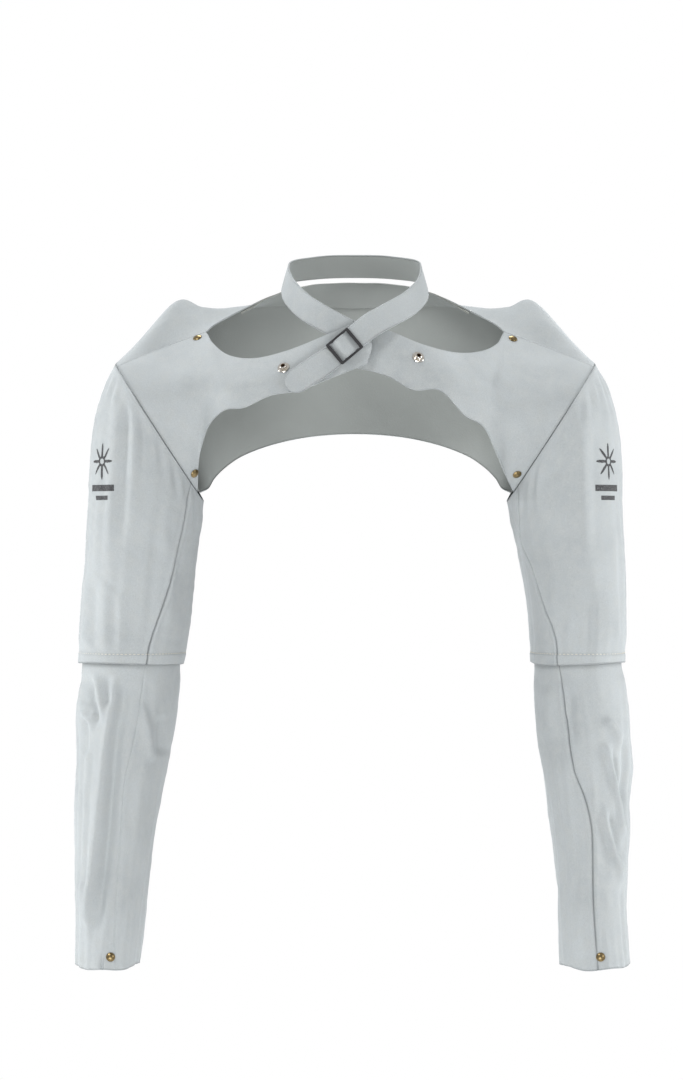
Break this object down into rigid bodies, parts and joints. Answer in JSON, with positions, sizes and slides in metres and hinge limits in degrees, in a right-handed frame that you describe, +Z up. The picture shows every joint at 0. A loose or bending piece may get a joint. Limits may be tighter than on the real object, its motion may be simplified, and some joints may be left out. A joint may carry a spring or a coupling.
{
  "type": "leather welding cape sleeves",
  "caption": "Split-leather welding sleeves joined by a shoulder yoke, with a crossing neck strap, a slide buckle and bib studs.",
  "frame": {"origin": "middle of the neck opening, level with the two shoulder rivets", "axes": "+Z up, -Y out of the wearer's chest, +X to the wearer's left"},
  "size_m": [0.5608, 0.2231, 0.7205],
  "materials": {
    "suede_leather": "matt blue-grey split suede with a fine nap",
    "strap_leather": "blue-grey split leather, a little smoother and darker",
    "band_leather": "olive-grey flesh side of the leather",
    "brass": "aged brass rivet",
    "nickel": "bright nickel snap stud",
    "black_metal": "satin black painted steel buckle"
  },
  "bodies": {
    "yoke": {"right_front_yoke": "suede_leather", "left_front_yoke": "suede_leather", "back_yoke": "suede_leather", "back_neck_band": "band_leather", "neck_strap": "strap_leather", "buckle_chape": "suede_leather", "right_bib_stud": "nickel", "left_bib_stud": "nickel", "right_stud_eyelet": "nickel", "left_stud_eyelet": "nickel", "right_shoulder_rivet_cap": "brass", "left_shoulder_rivet_cap": "brass", "right_shoulder_rivet_post": "brass", "left_shoulder_rivet_post": "brass", "right_underarm_rivet_cap": "brass", "left_underarm_rivet_cap": "brass", "right_underarm_rivet_post": "brass", "left_underarm_rivet_post": "brass"},
    "right_upper_sleeve": {"right_upper_sleeve": "suede_leather"},
    "left_upper_sleeve": {"left_upper_sleeve": "suede_leather"},
    "right_lower_sleeve": {"right_lower_sleeve": "suede_leather", "right_cuff_rivet_cap": "brass", "right_cuff_rivet_post": "brass"},
    "left_lower_sleeve": {"left_lower_sleeve": "suede_leather", "left_cuff_rivet_cap": "brass", "left_cuff_rivet_post": "brass"},
    "buckle": {"buckle_frame": "black_metal"}
  },
  "joints": [
    {"name": "right_shoulder_swing", "type": "hinge", "parent": "yoke", "child": "right_upper_sleeve", "pos_m": [-0.1985, 0.004, -0.0965], "axis": [-0.8422, 0, -0.5392], "range_deg": [-20, 60]},
    {"name": "left_shoulder_swing", "type": "hinge", "parent": "yoke", "child": "left_upper_sleeve", "pos_m": [0.1985, 0.004, -0.0965], "axis": [-0.8422, 0, 0.5392], "range_deg": [-20, 60]},
    {"name": "right_elbow_bend", "type": "hinge", "parent": "right_upper_sleeve", "child": "right_lower_sleeve", "pos_m": [-0.227, -0.0366, -0.33], "axis": [-1, 0, 0], "range_deg": [0, 60]},
    {"name": "left_elbow_bend", "type": "hinge", "parent": "left_upper_sleeve", "child": "left_lower_sleeve", "pos_m": [0.227, -0.0366, -0.33], "axis": [-1, 0, 0], "range_deg": [0, 60]},
    {"name": "buckle_rock", "type": "hinge", "parent": "yoke", "child": "buckle", "pos_m": [-0.011, -0.106, -0.015], "axis": [0.6433, -0.023, -0.7653], "range_deg": [-3, 3]}
  ]
}
